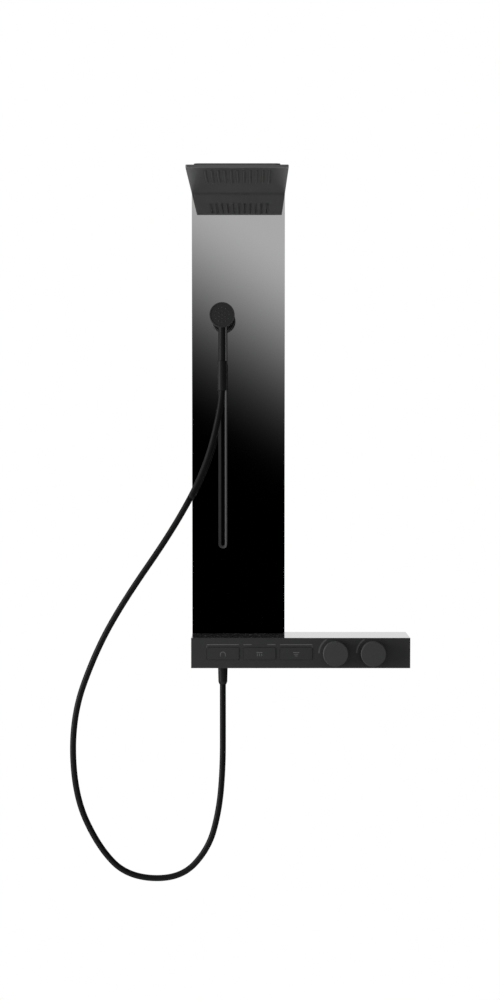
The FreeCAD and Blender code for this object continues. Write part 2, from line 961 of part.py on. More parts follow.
def holder_arm():
    """The neck through the slot, the shouldered arm in front of it and the headed peg on its end."""
    neck = upright_slot(
        slot_place,
        (panel_face - glide_gap - glide_thickness, cavity_front + slide_gap),
        slot_clear_width - 2 * neck_gap,
        (handset_place - neck_height / 2, handset_place + neck_height / 2),
    )
    glide_front = panel_face - glide_gap - glide_thickness
    shoulder_front = glide_front - arm_shoulder_thickness
    arm = turned_y(
        slot_place,
        handset_place,
        [
            (0, glide_front),
            (arm_shoulder_radius, glide_front),
            (arm_shoulder_radius, shoulder_front),
            (arm_radius, shoulder_front),
            (arm_radius, arm_front),
            (0, arm_front),
        ],
    )
    peg_neck = peg_bar(peg_neck_width, peg_neck_height, (peg_neck_front, arm_front))
    peg_head_depth = (peg_neck_front - peg_head_thickness, peg_neck_front)
    peg_head = peg_bar(peg_head_width, peg_head_height, peg_head_depth)
    return neck.fuse(arm).fuse(peg_neck).fuse(peg_head).removeSplitter()


def peg_bar(width, height, y):
    """An upright round-ended bar of the dock, centred on the hand shower."""
    return upright_slot(slot_place, y, width, (handset_place - height / 2, handset_place + height / 2))


def glide_ring():
    """The ring that keeps the arm's shoulder off the panel."""
    rear = panel_face - glide_gap
    neck_reach = neck_height / 2 + fit_gap
    return turned_y(
        slot_place,
        handset_place,
        [
            (neck_reach, rear),
            (arm_shoulder_radius, rear),
            (arm_shoulder_radius, rear - glide_thickness),
            (neck_reach, rear - glide_thickness),
        ],
    )


def dock_boss():
    """The boss behind the hand shower, with a slot that drops over the peg."""
    boss = rod(
        V(slot_place, handset_rear, handset_place), V(slot_place, dock_rear, handset_place), dock_boss_radius
    )
    low = handset_place - dock_boss_radius - overrun - peg_head_width
    lip = dock_rear - dock_lip
    mouth = upright_slot(
        slot_place,
        (lip, dock_rear + overrun),
        peg_neck_width + 2 * slide_gap,
        (low, handset_place + peg_neck_height / 2 + slide_gap),
    )
    cavity = upright_slot(
        slot_place,
        (lip - dock_cavity_depth, lip),
        peg_head_width + 2 * slide_gap,
        (low, handset_place + peg_head_height / 2 + slide_gap),
    )
    return boss.cut(mouth).cut(cavity)


def handset_shell():
    """The hand shower's cup-shaped head and its hollow handle."""
    head = rod(
        V(slot_place, handset_face, handset_place),
        V(slot_place, handset_rear, handset_place),
        handset_radius,
    )
    head = rounded(head, handset_back_round, lambda edge: lies_at(edge, Y_AXIS, handset_rear))
    head = rounded(head, handset_rim_round, lambda edge: lies_at(edge, Y_AXIS, handset_face))
    top = V(slot_place, handset_axis, handset_place - handset_radius / 2)
    foot = V(slot_place, handset_axis, upper_nut_top - handle_seat)
    body = head.fuse(rod(top, foot, handle_radius))
    chamber = rod(
        V(slot_place, handset_face - overrun, handset_place),
        V(slot_place, handset_rear - handset_back_wall, handset_place),
        handset_radius - handset_wall,
    )
    waterway = rod(top, foot - Z_AXIS * overrun, handle_bore_radius)
    return body.cut(chamber).cut(waterway).removeSplitter()


def nozzle_places():
    """The nozzles' places on the hand shower's face, ring by ring."""
    places = []
    for ring_radius, count in zip(nozzle_ring_radii, nozzle_ring_counts):
        for k in range(count):
            angle = 2 * math.pi * k / count
            x = slot_place + ring_radius * math.sin(angle)
            places.append((x, handset_place + ring_radius * math.cos(angle)))
    return places


def handset_faceplate():
    """The holed disc that closes the hand shower's head."""
    front = handset_face + face_recess
    rear = front + face_thickness
    radius = handset_radius - handset_wall - fit_gap
    disc = rod(V(slot_place, front, handset_place), V(slot_place, rear, handset_place), radius)
    holes = [
        rod(V(x, front - overrun, z), V(x, rear + overrun, z), nozzle_hole_radius)
        for x, z in nozzle_places()
    ]
    return disc.cut(Part.makeCompound(holes))


def nozzle_mat():
    """The soft mat behind the faceplate, with a tip through each hole."""
    plate_front = handset_face + face_recess
    front = plate_front + face_thickness
    rear = front + nozzle_mat_thickness
    radius = handset_radius - handset_wall - fit_gap
    mat = rod(V(slot_place, front, handset_place), V(slot_place, rear, handset_place), radius)
    for x, z in nozzle_places():
        mat = mat.fuse(rod(V(x, plate_front - nozzle_tip_proud, z), V(x, rear, z), nozzle_tip_radius))
    return mat.removeSplitter()


def head_tray():
    """The flat slab of the overhead head, with its spray slots and openings for pipes and brackets."""
    slab = block((column_left, column_right), (head_front, 0), (head_underside, tray_top))
    front_corners = lambda edge: runs_along(edge, Z_AXIS) and edge.CenterOfMass.y < panel_face
    slab = rounded(slab, tray_corner, front_corners)
    z = (head_underside - overrun, tray_top + overrun)
    cuts = [
        spray_bar(x, bank, spray_slot_width, z)
        for x in spray_places
        for bank in (bank_rear, bank_front)
    ]
    for edge, inward in ((column_left, 1), (column_right, -1)):
        x = bracket_middle(edge, inward)
        half = bracket_width / 2 + slide_gap
        cuts.append(block((x - half, x + half), (bracket_front - slide_gap, bracket_rear + slide_gap), z))
    return slab.cut(Part.makeCompound(cuts)).cut(riser_holes(z))


def spray_bar(x, bank, width, z):
    """A round-ended bar along one spray slot, between two heights."""
    inset = spray_slot_width / 2
    start = V(x, bank[0] - inset, z[0])
    end = V(x, bank[1] + inset, z[0])
    return Part.Face(slot_wire(start, end, width, Z_AXIS)).extrude(V(0, 0, z[1] - z[0]))


def spray_strips(bank):
    """The soft nozzle strips of one bank, each flanged on top of the tray."""
    strips = []
    for x in spray_places:
        stem = spray_bar(x, bank, spray_slot_width - 2 * fit_gap, (head_underside - spray_tip, tray_top))
        flange = spray_bar(x, bank, spray_flange_width, (tray_top, tray_top + spray_flange_thickness))
        strips.append(stem.fuse(flange))
    return Part.makeCompound(strips)


def cover_top(y):
    """The height of the head cover's outside at a place along Y."""
    return tray_top + cover_front_height + cover_slope * (y - cover_front)


def sloped_block(x, y, base, drop):
    """A block whose top runs under the cover's slope, lower by drop."""
    outline = [(y[0], base), (y[1], base), (y[1], cover_top(y[1]) - drop), (y[0], cover_top(y[0]) - drop)]
    return prism_x(outline, x)


def head_cover():
    """The low wedge-shaped cover on top of the head."""
    front_corners = lambda edge: runs_along(edge, Z_AXIS) and edge.CenterOfMass.y < panel_face
    shell = sloped_block((cover_left, cover_right), (cover_front, 0), tray_top, 0)
    shell = rounded(shell, cover_corner, front_corners)
    hollow = sloped_block(
        (cover_left + cover_wall, cover_right - cover_wall),
        (cover_front + cover_wall, -cover_wall),
        tray_top - overrun,
        cover_wall,
    )
    return shell.cut(rounded(hollow, cover_corner - cover_wall, front_corners))


def chamber_cavities(base, drop):
    """The two water spaces: the front bank with its side duct, and the rear bank."""
    left = chamber_left + chamber_wall
    right = chamber_right - chamber_wall
    duct_left = column_middle + spray_half_width + duct_gap + chamber_wall
    divider = (bank_rear[1] + bank_front[0]) / 2
    passage_front = chamber_rear - chamber_rear_margin + chamber_margin
    passage_left = riser_places[0] - riser_radius - chamber_wall
    rear_wall = chamber_rear - chamber_wall
    front_depth = (chamber_front + chamber_wall, divider - chamber_wall / 2)
    front = sloped_block((left, right), front_depth, base, drop)
    duct = sloped_block((duct_left, right), (chamber_front + chamber_wall, rear_wall), base, drop)
    passage = sloped_block((passage_left, right), (passage_front, rear_wall), base, drop)
    rear = sloped_block(
        (left, duct_left - chamber_wall),
        (divider + chamber_wall / 2, passage_front - chamber_wall),
        base,
        drop,
    )
    return [front.fuse(duct).fuse(passage), rear]


def water_chamber():
    """The moulded lid over the spray strips, with a separate way to each bank."""
    roof = cover_wall + chamber_gap
    lid = sloped_block((chamber_left, chamber_right), (chamber_front, chamber_rear), chamber_base, roof)
    for cavity in chamber_cavities(chamber_base - overrun, roof + chamber_roof):
        lid = lid.cut(cavity)
    ends = (chamber_rear - chamber_wall, chamber_rear - chamber_rear_margin)
    for x, end in zip(riser_places, ends):
        start = V(x, chamber_rear + overrun, riser_level)
        lid = lid.cut(rod(start, V(x, end - overrun, riser_level), riser_radius + fit_gap))
    return lid.removeSplitter()


def chamber_gasket():
    """The seal under the rims of the water chamber."""
    z = (tray_top, chamber_base)
    seal = block((chamber_left, chamber_right), (chamber_front, chamber_rear), z)
    for cavity in chamber_cavities(tray_top - overrun, 0):
        seal = seal.cut(cavity)
    return seal


def riser_pipe(place):
    """A pipe from the valve up the column and forward into the water chamber."""
    start = V(place, valve_axis + riser_boss_reach - riser_seat, 0)
    points = [
        start,
        V(place, riser_axis, 0),
        V(place, riser_axis, riser_level),
        V(place, chamber_rear - chamber_wall / 2, riser_level),
    ]
    path = bent_path(points, lambda before, corner, after, half_turn: riser_elbow_radius)[0]
    return tube_along(path, riser_radius).cut(tube_along(path, riser_bore_radius))


def all_nodes():
    """Every piece of the set under its own name."""
    route = hose_route()
    before_split = route[hose_split_count - 1] * hose_split_share
    middle = before_split + route[hose_split_count] * (1 - hose_split_share)
    nodes = {
        "front_fascia": front_fascia(),
        "button_guide": button_guide(),
        "shelf_plate": shelf_plate(),
        "bar_housing": bar_housing(),
        "end_cap_left": end_cap((bar_left, housing_left)),
        "end_cap_right": end_cap((housing_right, bar_right)),
        "valve_body": valve_body(),
        "flow_cartridge": mixing_cartridge(flow_place),
        "thermostatic_cartridge": mixing_cartridge(temperature_place),
        "flow_knob": knob(flow_place),
        "flow_spindle": knob_spindle(flow_place),
        "temperature_knob": knob(temperature_place),
        "temperature_spindle": knob_spindle(temperature_place),
        "inlet_union_left": inlet_union(inlet_places[0]),
        "inlet_union_right": inlet_union(inlet_places[1]),
        "inlet_filters": inlet_filters(),
        "hose_outlet": hose_outlet(),
        "outlet_washer": washer(valve_axis, bar_bottom - nipple_reach, nipple_radius),
        "hose_nut_lower": lower_hose_nut(),
        "hose_loop": hose_stretch("hose_loop", route[:hose_split_count] + [middle]),
        "hose_top": hose_stretch("hose_top", [middle] + route[hose_split_count:]),
        "hose_nut_upper": upper_hose_nut(),
        "handset_washer": washer(handset_axis, upper_nut_top - handle_seat, handle_radius),
        "column_panel": column_panel(),
        "column_rail_left": column_rail(column_left, 1),
        "column_rail_right": column_rail(column_right, -1),
        "slot_trim": slot_trim(),
        "slide_track": slide_track(),
        "track_bumpers": track_bumpers(),
        "slide_carriage": slide_carriage(),
        "carriage_pads": carriage_pads(),
        "holder_arm": holder_arm(),
        "glide_ring": glide_ring(),
        "handset_dock": dock_boss(),
        "handset_shell": handset_shell(),
        "handset_faceplate": handset_faceplate(),
        "handset_nozzles": nozzle_mat(),
        "head_tray": head_tray(),
        "head_cover": head_cover(),
        "spray_strips_rear": spray_strips(bank_rear),
        "spray_strips_front": spray_strips(bank_front),
        "water_chamber": water_chamber(),
        "chamber_gasket": chamber_gasket(),
        "head_bracket_left": head_bracket(column_left, 1),
        "head_bracket_right": head_bracket(column_right, -1),
        "bracket_screws": bracket_screws(),
        "riser_pipe_front": riser_pipe(riser_places[0]),
        "riser_pipe_rear": riser_pipe(riser_places[1]),
    }
    for name, x in zip(button_names, button_places):
        nodes["button_" + name] = button_cap(x)
        nodes["plunger_" + name] = button_plunger(x)
        nodes["diverter_" + name] = diverter_cartridge(x)
    return nodes


def main():
    """Checks each piece and writes it to its own file."""
    os.makedirs("parts", exist_ok=True)
    for node, shape in all_nodes().items():
        if not shape.isValid() or not shape.Solids:
            raise ValueError(node + " is not a sound solid")
        shape.exportStep("parts/" + node + ".step")


main()
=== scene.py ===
"""The look of a wall shower set: finishes, hose, spray tips, printed marks and a plain studio."""

import math

import bpy
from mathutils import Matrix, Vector


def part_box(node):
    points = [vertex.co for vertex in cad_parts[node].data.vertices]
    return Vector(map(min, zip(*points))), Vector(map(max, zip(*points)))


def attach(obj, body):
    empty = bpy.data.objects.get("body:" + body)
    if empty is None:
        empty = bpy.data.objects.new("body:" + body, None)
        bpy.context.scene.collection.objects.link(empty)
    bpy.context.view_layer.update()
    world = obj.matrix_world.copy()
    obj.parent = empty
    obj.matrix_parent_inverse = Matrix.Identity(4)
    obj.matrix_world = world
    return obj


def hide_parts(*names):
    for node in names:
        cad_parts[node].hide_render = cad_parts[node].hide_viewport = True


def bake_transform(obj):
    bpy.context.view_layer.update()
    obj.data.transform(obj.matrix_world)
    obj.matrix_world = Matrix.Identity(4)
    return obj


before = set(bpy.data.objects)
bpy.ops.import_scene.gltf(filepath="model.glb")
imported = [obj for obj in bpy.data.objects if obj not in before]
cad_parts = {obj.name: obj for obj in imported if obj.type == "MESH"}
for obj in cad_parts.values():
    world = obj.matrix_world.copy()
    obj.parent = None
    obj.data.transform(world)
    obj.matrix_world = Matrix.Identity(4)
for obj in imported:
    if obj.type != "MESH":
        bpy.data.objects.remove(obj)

bl_info = {
    "name": "Shower set",
    "version": (1, 0, 0),
    "blender": (4, 5, 0),
    "location": "3D View > Sidebar > Shower",
    "description": "Dresses the shower set's solids and sets up its studio",
    "category": "Object",
}

# Points of the hose's route in metres, from the outlet nut to the hand shower's nut.
LOOP_ROUTE = [
    (-0.1785, -0.0600, -0.0735),
    (-0.1785, -0.0600, -0.1655),
    (-0.1785, -0.0660, -0.2725),
    (-0.1870, -0.0710, -0.3725),
    (-0.2120, -0.0760, -0.4625),
    (-0.2780, -0.0810, -0.5305),
    (-0.3980, -0.0860, -0.5245),
    (-0.4660, -0.0900, -0.4525),
    (-0.5200, -0.0950, -0.3305),
    (-0.5240, -0.1030, -0.1505),
    (-0.4700, -0.1110, -0.0004),
    (-0.4040, -0.1180, 0.1188),
    (-0.2880, -0.1260, 0.2854),
    (-0.2510, -0.1300, 0.3548),
]
TOP_ROUTE = [
    (-0.2510, -0.1300, 0.3548),
    (-0.2140, -0.1340, 0.4242),
    (-0.1785, -0.1400, 0.5697),
    (-0.1785, -0.1400, 0.6036),
]
SPLINE_ORDER = 3

# Which finish each CAD node has
FINISHES = {
    "satin": [
        "front_fascia",
        "bar_housing",
        "end_cap_left",
        "end_cap_right",
        "handset_dock",
        "button_left",
        "button_centre",
        "button_right",
        "holder_arm",
    ],
    "head": ["head_tray", "head_cover"],
    "knob": ["flow_knob", "temperature_knob"],
    "nut": ["hose_nut_lower", "hose_nut_upper"],
    "handset": ["handset_shell"],
    "face": ["handset_faceplate"],
    "trim": ["slot_trim"],
    "mirror": ["column_panel"],
    "polished": ["shelf_plate"],
    "strip": ["spray_strips_rear", "spray_strips_front"],
    "nozzle": ["handset_nozzles"],
    "soft": [
        "outlet_washer",
        "handset_washer",
        "chamber_gasket",
        "track_bumpers",
        "slide_track",
        "slide_carriage",
        "carriage_pads",
    ],
    "steel": [
        "column_rail_left",
        "column_rail_right",
        "head_bracket_left",
        "head_bracket_right",
        "bracket_screws",
        "inlet_filters",
    ],
    "brass": [
        "valve_body",
        "hose_outlet",
        "inlet_union_left",
        "inlet_union_right",
        "flow_spindle",
        "temperature_spindle",
    ],
    "moulding": [
        "button_guide",
        "water_chamber",
        "riser_pipe_front",
        "riser_pipe_rear",
        "glide_ring",
        "flow_cartridge",
        "thermostatic_cartridge",
        "diverter_left",
        "diverter_centre",
        "diverter_right",
        "plunger_left",
        "plunger_centre",
        "plunger_right",
    ],
}

# The surface grain that all finishes share
GRAIN = "surface_grain"
GRAIN_DETAIL = 3.0
RELIEF_DEPTH = 0.0002

# Tones painted by place, most of them painted light and shade: depths and blurs in metres, and
# shares of the finish's own colour
# A painted highlight on the overhead head's front lip
LIP_DEPTH = 0.006
LIP_BLUR = 0.001
LIP_HIGHLIGHT_SHARE = 2.75
# Painted shade on the overhead head near its joint with the column
JOINT_SHADE_DEPTH = 0.035
JOINT_SHADE_SHARE = 0.4
# Painted shade on the hand shower's handle
HANDLE_SHADE_BLUR = 0.004
# Painted shade on the outer rim of the slot trim's right side
RIM_SHADE_DEPTH = 0.0050
RIM_SHADE_BLUR = 0.0008
MIRROR_SKIN = 0.0003
MIRROR_FOOT = 0.012

# Painted light and shade on the spray strips and tips by the way that a face looks: painted shade
# on faces towards the wall and the left, and painted light on faces towards the right. Columns: the
# normal's axis, where on it the tone starts and is full, and the full tone's share of the finish's
# own colour
SPRAY_LIGHT_AND_SHADE = (
    ("Y", 0.1, 0.6, 0.35),
    ("X", -0.3, -0.9, 0.7),
    ("X", 0.3, 0.9, 2.0),
)

# A spray tip: points round it, and its free end's share of its foot's radius
TIP_SIDES = 12
TIP_END_SHARE = 0.6

# Signs on the buttons, in metres from a button's middle: a hand shower's arch, a head over jets
# and a head over narrowing rows. The head and the rows are half widths with heights.
ARCH_RADIUS = 0.0045
ARCH_SPRING = -0.0015
ARCH_FOOT = -0.0050
SIGN_HEAD = (0.0055, 0.0022)
JET_PLACES = (-0.004, 0.0, 0.004)
JET_ENDS = (0.0002, -0.0046)
SIGN_ROWS = ((0.0040, -0.0010), (0.0025, -0.0042))

# First and last angle of a knob's scale, in degrees
SCALE_ANGLES = (122, 180)

# The room that reflections show, by the way that a ray goes: a ceiling that leans to the right
# and fades out there, an even tone past the first reflection, and white straight behind. The
# least way forward keeps the ceiling's slope from a division by zero.
CEILING_LEAN = 0.65
CEILING_EDGE = (-0.055, 0.12)
CEILING_POWER = 3.0
CEILING_END = (0.10, 0.45)
LEAST_FORWARD = 0.001
FIRST_REFLECTION = 1.5
LATER_TONE = 0.06
BEHIND_EDGE = (0.86, 0.97)

SHADER = "Principled BSDF"
BLACK = (0.0, 0.0, 0.0, 1.0)
WHITE = (1.0, 1.0, 1.0, 1.0)


class ShowerColourSettings(bpy.types.PropertyGroup):
    """Colours of the finishes."""

    satin: bpy.props.FloatVectorProperty(
        name="Satin",
        description="Colour of the bar, its buttons and the holder",
        default=(0.038, 0.038, 0.039),
        subtype="COLOR",
    )
    head: bpy.props.FloatVectorProperty(
        name="Head",
        description="Colour of the overhead head",
        default=(0.047, 0.047, 0.047),
        subtype="COLOR",
    )
    knob: bpy.props.FloatVectorProperty(
        name="Knobs",
        description="Colour of the two knobs",
        default=(0.056, 0.056, 0.057),
        subtype="COLOR",
    )
    nut: bpy.props.FloatVectorProperty(
        name="Nuts",
        description="Colour of the hose nuts",
        default=(0.014, 0.014, 0.0145),
        subtype="COLOR",
    )
    handset: bpy.props.FloatVectorProperty(
        name="Hand shower",
        description="Colour of the hand shower's round head",
        default=(0.042, 0.042, 0.042),
        subtype="COLOR",
    )
    # The handle's darker colour is painted shade
    handle: bpy.props.FloatVectorProperty(
        name="Handle",
        description="Colour of the hand shower's handle",
        default=(0.014, 0.014, 0.014),
        subtype="COLOR",
    )
    face: bpy.props.FloatVectorProperty(
        name="Faceplate",
        description="Colour of the hand shower's faceplate",
        default=(0.031, 0.031, 0.032),
        subtype="COLOR",
    )
    nozzle: bpy.props.FloatVectorProperty(
        name="Nozzles",
        description="Colour of the hand shower's nozzles",
        default=(0.090, 0.090, 0.090),
        subtype="COLOR",
    )
    trim: bpy.props.FloatVectorProperty(
        name="Slot trim",
        description="Colour of the trim round the slide slot",
        default=(0.072, 0.072, 0.072),
        subtype="COLOR",
    )
    # The rim's darker colour is painted shade
    rim: bpy.props.FloatVectorProperty(
        name="Slot rim",
        description="Colour of the outer rim on the trim's right side",
        default=(0.006, 0.006, 0.006),
        subtype="COLOR",
    )
    mirror: bpy.props.FloatVectorProperty(
        name="Mirror",
        description="Colour of the panel's mirror face",
        default=(0.95, 0.95, 0.95),
        subtype="COLOR",
    )
    backing: bpy.props.FloatVectorProperty(
        name="Backing",
        description="Colour of the panel's edges and back",
        default=(0.02, 0.02, 0.02),
        subtype="COLOR",
    )
    polished: bpy.props.FloatVectorProperty(
        name="Shelf",
        description="Colour of the polished shelf",
        default=(0.075, 0.075, 0.076),
        subtype="COLOR",
    )
    sheath: bpy.props.FloatVectorProperty(
        name="Hose",
        description="Colour of the hose's sheath",
        default=(0.0085, 0.0085, 0.0087),
        subtype="COLOR",
    )
    soft: bpy.props.FloatVectorProperty(
        name="Soft black",
        description="Colour of washers, gasket, bumpers, track, carriage and pads",
        default=(0.006, 0.006, 0.006),
        subtype="COLOR",
    )
    spray: bpy.props.FloatVectorProperty(
        name="Spray",
        description="Colour of the overhead head's spray strips and tips",
        default=(0.056, 0.056, 0.056),
        subtype="COLOR",
    )
    steel: bpy.props.FloatVectorProperty(
        name="Steel",
        description="Colour of rails, brackets, screws and filters",
        default=(0.55, 0.55, 0.56),
        subtype="COLOR",
    )
    brass: bpy.props.FloatVectorProperty(
        name="Brass",
        description="Colour of the valve body, outlet, unions and spindles",
        default=(0.60, 0.44, 0.20),
        subtype="COLOR",
    )
    moulding: bpy.props.FloatVectorProperty(
        name="Mouldings",
        description="Colour of the moulded inner pieces",
        default=(0.06, 0.06, 0.062),
        subtype="COLOR",
    )
    sign: bpy.props.FloatVectorProperty(
        name="Signs",
        description="Colour of the signs on the buttons and the line over them",
        default=(0.16, 0.16, 0.16),
        subtype="COLOR",
    )
    scale: bpy.props.FloatVectorProperty(
        name="Scales",
        description="Colour of the scales beside the knobs",
        default=(0.085, 0.085, 0.085),
        subtype="COLOR",
    )


class ShowerHoseSettings(bpy.types.PropertyGroup):
    """Sizes of the hose."""

    diameter: bpy.props.FloatProperty(
        name="Diameter",
        description="Outside diameter of the hose",
        default=0.014,
        unit="LENGTH",
    )
    loop_length: bpy.props.FloatProperty(
        name="Loop length",
        description="Length from the bar to the top stretch",
        default=1.583,
        unit="LENGTH",
    )
    top_length: bpy.props.FloatProperty(
        name="Top length",
        description="Length of the stretch below the hand shower",
        default=0.262,
        unit="LENGTH",
    )
    sides: bpy.props.IntProperty(
        name="Sides",
        description="Points round the hose",
        default=24,
    )
    steps: bpy.props.IntProperty(
        name="Steps",
        description="Rings between two points of the route",
        default=12,
    )
    slack: bpy.props.FloatProperty(
        name="Slack",
        description="How soon along the loop the hose follows the slider",
        default=1.7,
    )


class ShowerSpraySettings(bpy.types.PropertyGroup):
    """Sizes of the overhead head's spray tips."""

    columns: bpy.props.IntProperty(
        name="Columns",
        description="Spray slots across the head",
        default=11,
    )
    rows: bpy.props.IntProperty(
        name="Rows",
        description="Spray tips along one slot",
        default=10,
    )
    pitch: bpy.props.FloatProperty(
        name="Pitch",
        description="Distance between slots",
        default=0.0136,
        unit="LENGTH",
    )
    inset: bpy.props.FloatProperty(
        name="Inset",
        description="Distance from a slot's end to its first tip",
        default=0.005,
        unit="LENGTH",
    )
    radius: bpy.props.FloatProperty(
        name="Radius",
        description="Radius of a tip at its foot",
        default=0.0018,
        unit="LENGTH",
    )
    reach: bpy.props.FloatProperty(
        name="Reach",
        description="How far a tip stands below its strip",
        default=0.0008,
        unit="LENGTH",
    )


class ShowerMarkSettings(bpy.types.PropertyGroup):
    """Sizes of the printed marks."""

    lift: bpy.props.FloatProperty(
        name="Lift",
        description="Height of a mark over its face",
        default=0.00006,
        unit="LENGTH",
    )
    line: bpy.props.FloatProperty(
        name="Line",
        description="Width of a thin line",
        default=0.0011,
        unit="LENGTH",
    )
    arc_radius: bpy.props.FloatProperty(
        name="Arc radius",
        description="Radius of a knob's scale",
        default=0.0372,
        unit="LENGTH",
    )
    arc_width: bpy.props.FloatProperty(
        name="Arc width",
        description="Width of a knob's scale",
        default=0.0036,
        unit="LENGTH",
    )
    sign_scale: bpy.props.FloatProperty(
        name="Sign scale",
        description="Size of the signs on the buttons",
        default=1.25,
    )
    tick: bpy.props.FloatProperty(
        name="Tick",
        description="Length of the line's turned-down ends",
        default=0.006,
        unit="LENGTH",
    )
    bracket_gap: bpy.props.FloatProperty(
        name="Bracket gap",
        description="Bare gap in the middle of the line",
        default=0.036,
        unit="LENGTH",
    )
    bracket_height: bpy.props.FloatProperty(
        name="Bracket height",
        description="Height of the line over the bar's middle",
        default=0.0195,
        unit="LENGTH",
    )


class ShowerStageSettings(bpy.types.PropertyGroup):
    """Camera and studio."""

    camera_place: bpy.props.FloatVectorProperty(
        name="Camera",
        description="Place of the camera",
        default=(-0.1156, -4.025, 0.5085),
        subtype="TRANSLATION",
    )
    camera_tilt: bpy.props.FloatProperty(
        name="Tilt",
        description="How far the camera looks down",
        default=math.radians(2.33),
        subtype="ANGLE",
    )
    lens: bpy.props.FloatProperty(
        name="Lens",
        description="Focal length in millimetres",
        default=61.92,
        unit="CAMERA",
    )
    sky: bpy.props.FloatProperty(
        name="Sky",
        description="Strength of the even light",
        default=0.42,
    )
    ceiling: bpy.props.FloatProperty(
        name="Ceiling",
        description="Brightness of the soft ceiling in reflections",
        default=0.41,
    )
    floor_level: bpy.props.FloatProperty(
        name="Floor",
        description="Height of the floor",
        default=-0.95,
        unit="LENGTH",
    )
    floor_half_width: bpy.props.FloatProperty(
        name="Floor half width",
        description="How far the floor goes to each side",
        default=1.6,
        unit="LENGTH",
    )
    floor_depth: bpy.props.FloatProperty(
        name="Floor depth",
        description="How far the floor goes in front of the wall",
        default=2.0,
        unit="LENGTH",
    )
    floor_colour: bpy.props.FloatVectorProperty(
        name="Floor colour",
        description="Colour of the floor",
        default=(0.8, 0.8, 0.8),
        subtype="COLOR",
    )
    floor_glow: bpy.props.FloatProperty(
        name="Floor glow",
        description="White that the floor adds where it is seen",
        default=0.5,
    )
    side_light: bpy.props.FloatProperty(
        name="Side light",
        description="Power of the left soft box",
        default=72.0,
        unit="POWER",
    )
    light_width: bpy.props.FloatProperty(
        name="Light width",
        description="Width of the left soft box",
        default=1.0,
        unit="LENGTH",
    )
    light_height: bpy.props.FloatProperty(
        name="Light height",
        description="Height of the left soft box",
        default=2.0,
        unit="LENGTH",
    )
    light_place: bpy.props.FloatVectorProperty(
        name="Light place",
        description="Place of the left soft box",
        default=(-2.6, -0.80, 0.2),
        subtype="TRANSLATION",
    )
    light_aim: bpy.props.FloatVectorProperty(
        name="Light aim",
        description="Point that the left soft box faces",
        default=(-0.15, -0.1, 0.3),
        subtype="TRANSLATION",
    )


class Nodes:
    """Adds nodes to a tree and joins them."""

    def __init__(self, tree):
        self.tree = tree

    def add(self, kind, **settings):
        """A new node with attributes set."""
        node = self.tree.nodes.new(kind)
        for name, value in settings.items():
            setattr(node, name, value)
        return node

    def join(self, source, target):
        """Links two sockets."""
        self.tree.links.new(source, target)

    def feed(self, socket, value):
        """Links another socket to a socket, or sets it to a number or a colour."""
        if isinstance(value, bpy.types.NodeSocket):
            self.join(value, socket)
        else:
            socket.default_value = value

    def math(self, operation, first, second):
        """A math node on two sockets or numbers."""
        node = self.add("ShaderNodeMath", operation=operation)
        self.feed(node.inputs[0], first)
        self.feed(node.inputs[1], second)
        return node.outputs[0]

    def axes(self, output):
        """The X, Y and Z of a texture coordinate."""
        split = self.add("ShaderNodeSeparateXYZ")
        self.join(self.add("ShaderNodeTexCoord").outputs[output], split.inputs[0])
        return split.outputs

    def ramp(self, value, start, end, low=0.0, high=1.0, smooth=False):
        """A number that goes from low to high while a value goes from start to end."""
        kind = "SMOOTHSTEP" if smooth else "LINEAR"
        node = self.add("ShaderNodeMapRange", interpolation_type=kind)
        names = ("Value", "From Min", "From Max", "To Min", "To Max")
        for name, setting in zip(names, (value, start, end, low, high)):
            self.feed(node.inputs[name], setting)
        return node.outputs["Result"]

    def mix(self, kind, share, low, high):
        """A colour or a number, by kind Color or Float, that goes from low to high with a share."""
        data_type = {"Color": "RGBA", "Float": "FLOAT"}[kind]
        node = self.add("ShaderNodeMix", data_type=data_type)
        sockets = {socket.identifier: socket for socket in (*node.inputs, *node.outputs)}
        self.feed(sockets["Factor_Float"], share)
        self.feed(sockets["A_" + kind], low)
        self.feed(sockets["B_" + kind], high)
        return sockets["Result_" + kind]


def grain_group():
    """The shared surface grain: noise that varies the roughness and gives a bump height."""
    group = bpy.data.node_groups.new(GRAIN, "ShaderNodeTree")
    for way, names in (
        ("INPUT", ("Scale", "Roughness", "Spread")),
        ("OUTPUT", ("Roughness", "Height")),
    ):
        for name in names:
            group.interface.new_socket(name, in_out=way, socket_type="NodeSocketFloat")
    nodes = Nodes(group)
    source = nodes.add("NodeGroupInput").outputs
    result = nodes.add("NodeGroupOutput").inputs
    fine = nodes.add("ShaderNodeTexNoise")
    fine.inputs["Detail"].default_value = GRAIN_DETAIL
    nodes.join(nodes.add("ShaderNodeTexCoord").outputs["Object"], fine.inputs["Vector"])
    nodes.join(source["Scale"], fine.inputs["Scale"])
    low = nodes.math("SUBTRACT", source["Roughness"], source["Spread"])
    high = nodes.math("ADD", source["Roughness"], source["Spread"])
    nodes.join(nodes.ramp(fine.outputs["Fac"], 0.0, 1.0, low, high), result["Roughness"])
    nodes.join(fine.outputs["Fac"], result["Height"])


def opaque(colour):
    """A colour with full alpha."""
    return (*colour, 1.0)


